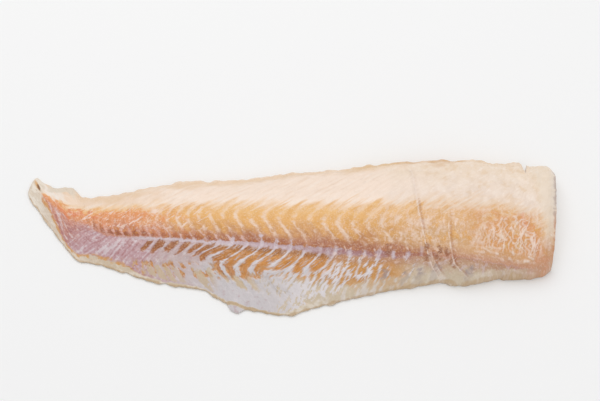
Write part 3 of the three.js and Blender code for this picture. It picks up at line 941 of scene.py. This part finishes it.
corner = ramp(f.along + 2 * mottle, 166, 186) * ramp(f.across + 2 * mottle, 22, 6)
colour = tint(colour, CORNER_BROWN, corner * 0.6)
pale_end = ramp(f.along + 1.5 * mottle + 0.08 * f.across, 184, 190) * ramp(f.across + 2 * mottle, 12, 28)
colour = tint(colour, PALE_END, pale_end * 0.7)
cut_rim = ramp(f.flake + 0.06 * mottle + 0.04 * speckle, LAST_FLAKE - 0.3, LAST_FLAKE - 0.05)
rim_colour = tint(CORNER_RED, GREY_LILAC, ramp(f.across + 2 * mottle, 30, 46))
colour = tint(colour, rim_colour, cut_rim * ramp(drift + mottle, -1.2, 0.4) * 0.6)
colour = tint(colour, WHITE_FOLD, f.wrinkle * 0.78)
crease_line = ramp(abs(f.crease + 0.3 * mottle), 1.0, 0.1) * f.crease_strength
# Painted shade: a brown band beside each crease, on the side away from its lip, stands in for the fold's
# shadow; it is faint on the cream.
painted_crease_shade = ramp(abs(f.crease - 1.5), 1.6, 0.2) * f.crease_strength * (1 - 0.85 * on_cream)
colour = tint(colour, BROWN_MUSCLE_AND_SHADE, painted_crease_shade * 0.35)
colour = tint(colour, WHITE_FOLD, crease_line * ramp(mottle, -1.2, 0.6) * 0.65)

SPECK_LIGHT = srgb(248, 234, 224)
SPECK_DARK = srgb(160, 112, 84)
grain = rough(f.along / 1.2, f.across / 1.1, 33, 1.0)
textured = ramp(tone, 0.52, 0.42) * (0.35 + 0.65 * ramp(f.across, -14, -4))
colour = tint(colour, SPECK_LIGHT, ramp(grain, 0.2, 1.3) * textured * 0.2)
colour = tint(colour, SPECK_DARK, ramp(grain, -0.2, -1.3) * textured * 0.1)

roughness = 0.38 + 0.08 * mottle
bump_height = fibre * 0.3 + mottle * 0.5 + grain * 0.25
bump = start.node("ShaderNodeBump", None, {"Strength": 0.4, "Distance": 0.0004, "Height": bump_height})
fill_sockets(skin.node_tree.nodes["Principled BSDF"], {
    "Base Color": colour,
    "Roughness": roughness,
    "Normal": bump,
    "Coat Weight": 0.25,
    "Coat Roughness": 0.18,
})

# The cut face
# The straight knife cut behind the head and the nick in the back edge: white flesh, with the flakes cut
# across as nested arcs and a wedge of dark muscle at the lateral line.
FLESH_WHITE = srgb(238, 224, 211)
FLESH_LINE = srgb(220, 196, 180)
FLESH_EDGE = srgb(222, 190, 156)
ARC_CENTRE_Y = 14.0
ARC_CENTRE_Z = 4.0
ARC_STRETCH = 2.2
ARC_PITCH = 5.5
WEDGE_Y = -27
WEDGE_TOP_Z = 18
MOIST = {"Roughness": 0.42, "Coat Weight": 0.2, "Coat Roughness": 0.2}
cut = materials[CUT_FACE]
start = Field(cut.node_tree)
place = start.node("ShaderNodeTexCoord", output=3)
split = start.node("ShaderNodeSeparateXYZ", None, {0: place})
cut_y = Field(cut.node_tree, split.socket.node.outputs[1]) / MM
cut_z = Field(cut.node_tree, split.socket.node.outputs[2]) / MM
cut_swell = rough(cut_y / 9, cut_z / 6, 51)
off_centre_y = (cut_y - ARC_CENTRE_Y) / ARC_STRETCH
from_centre = off_centre_y.maths("POWER", 2) + (cut_z - ARC_CENTRE_Z).maths("POWER", 2)
arc = (from_centre.maths("SQRT") + 0.8 * cut_swell) / ARC_PITCH
arc_line = ramp(abs(arc.maths("FRACT") - 0.5), 0.36, 0.48)
cut_colour = tint(FLESH_WHITE, FLESH_LINE, arc_line * ramp(cut_swell, -1.2, 0.6) * 0.6)
cut_colour = tint(cut_colour, FLESH_EDGE, ramp(cut_z + 0.8 * cut_swell, 15, 24) * 0.4)
from_wedge = abs(cut_y - WEDGE_Y) + 0.35 * (WEDGE_TOP_Z - cut_z)
wedge = ramp(from_wedge + cut_swell, 5, 2) * ramp(cut_z, 5, 9)
cut_colour = tint(cut_colour, RED_MUSCLE, wedge * 0.6)
fill_sockets(cut.node_tree.nodes["Principled BSDF"], {"Base Color": cut_colour, **MOIST})

# The boned side
# The face that lay on the ribs and the backbone: white flesh with the flakes' edges as fine zigzags, a pink
# groove where the backbone ran, and glassy margins.
BONED_WHITE = srgb(239, 223, 207)
BONED_LINE = srgb(224, 198, 178)
BONE_PINK = srgb(214, 164, 146)
boned = materials[BONED_SIDE]
f = surface_fields(boned.node_tree, fields)
boned_swell = rough(f.along / 12, f.across / 9, 61)
boned_mottle = rough(f.along / 3, f.across / 3, 62)
boned_colour = tint(BONED_WHITE, BONED_LINE, ramp(f.septum + 0.04 * boned_mottle, 0.14, 0.03) * 0.6)
boned_colour = tint(boned_colour, CREAM_LIGHT, ramp(boned_swell, 0.0, 1.0) * 0.6)
bone_groove = ramp(abs(f.across + boned_swell), 3.5, 0.8)
boned_colour = tint(boned_colour, BONE_PINK, bone_groove * (0.5 + 0.3 * boned_mottle))
glassy = ramp(f.belly_rim + boned_mottle, 8, 2)
boned_colour = tint(boned_colour, BEIGE_PALE, glassy * 0.8)
fill_sockets(boned.node_tree.nodes["Principled BSDF"], {"Base Color": boned_colour, **MOIST})

# The studio
# A plain white floor under soft light from all sides, seen from above as the fillet lies on a table.
FLOOR_HALF = 3.0
FLOOR_DROP = 0.0002
FLOOR_WHITE = (0.95, 0.95, 0.95, 1.0)
FLOOR_ROUGHNESS = 0.9
WHITE_LIGHT = (1.0, 1.0, 1.0, 1.0)
LIGHT_ALL_ROUND = 0.66
floor_mesh = bpy.data.meshes.new("floor")
floor_corners = [(-FLOOR_HALF, -FLOOR_HALF), (FLOOR_HALF, -FLOOR_HALF),
                 (FLOOR_HALF, FLOOR_HALF), (-FLOOR_HALF, FLOOR_HALF)]
floor_mesh.from_pydata([(px, py, -FLOOR_DROP) for px, py in floor_corners], [], [(0, 1, 2, 3)])
floor_paint = bpy.data.materials.new("floor paint")
floor_paint.use_nodes = True
floor_shader = floor_paint.node_tree.nodes["Principled BSDF"]
fill_sockets(floor_shader, {"Base Color": FLOOR_WHITE, "Roughness": FLOOR_ROUGHNESS})
floor_mesh.materials.append(floor_paint)
floor = bpy.data.objects.new("floor", floor_mesh)
bpy.context.scene.collection.objects.link(floor)

world = bpy.data.worlds.new("studio")
world.use_nodes = True
fill_sockets(world.node_tree.nodes["Background"], {"Color": WHITE_LIGHT, "Strength": LIGHT_ALL_ROUND})
bpy.context.scene.world = world
bpy.context.scene.view_settings.view_transform = "Standard"


def soft_light(name, place, size, power):
    """A square soft box that faces the fillet."""
    data = bpy.data.lights.new(name, "AREA")
    data.size = size
    data.energy = power
    light = bpy.data.objects.new(name, data)
    light.location = place
    lean = math.atan2(math.hypot(place[0], place[1]), place[2])
    light.rotation_euler = (lean, 0, math.atan2(place[0], -place[1]))
    bpy.context.scene.collection.objects.link(light)


soft_light("key", place=(-0.25, 0.8, 1.5), size=1.6, power=10)
soft_light("fill", place=(0.9, -0.8, 1.3), size=1.4, power=3)

LENS = 85
SENSOR = 36
ELEVATION = math.radians(60)
DISTANCE = 1.071
AIM_X = 0.0068
AIM_Y = 0.03265
camera = bpy.data.objects.new("camera", bpy.data.cameras.new("camera"))
camera.data.lens = LENS
camera.data.sensor_width = SENSOR
camera.location = (AIM_X, AIM_Y - DISTANCE * math.cos(ELEVATION), DISTANCE * math.sin(ELEVATION))
camera.rotation_euler = (math.pi / 2 - ELEVATION, 0, 0)
bpy.context.scene.collection.objects.link(camera)
bpy.context.scene.camera = camera
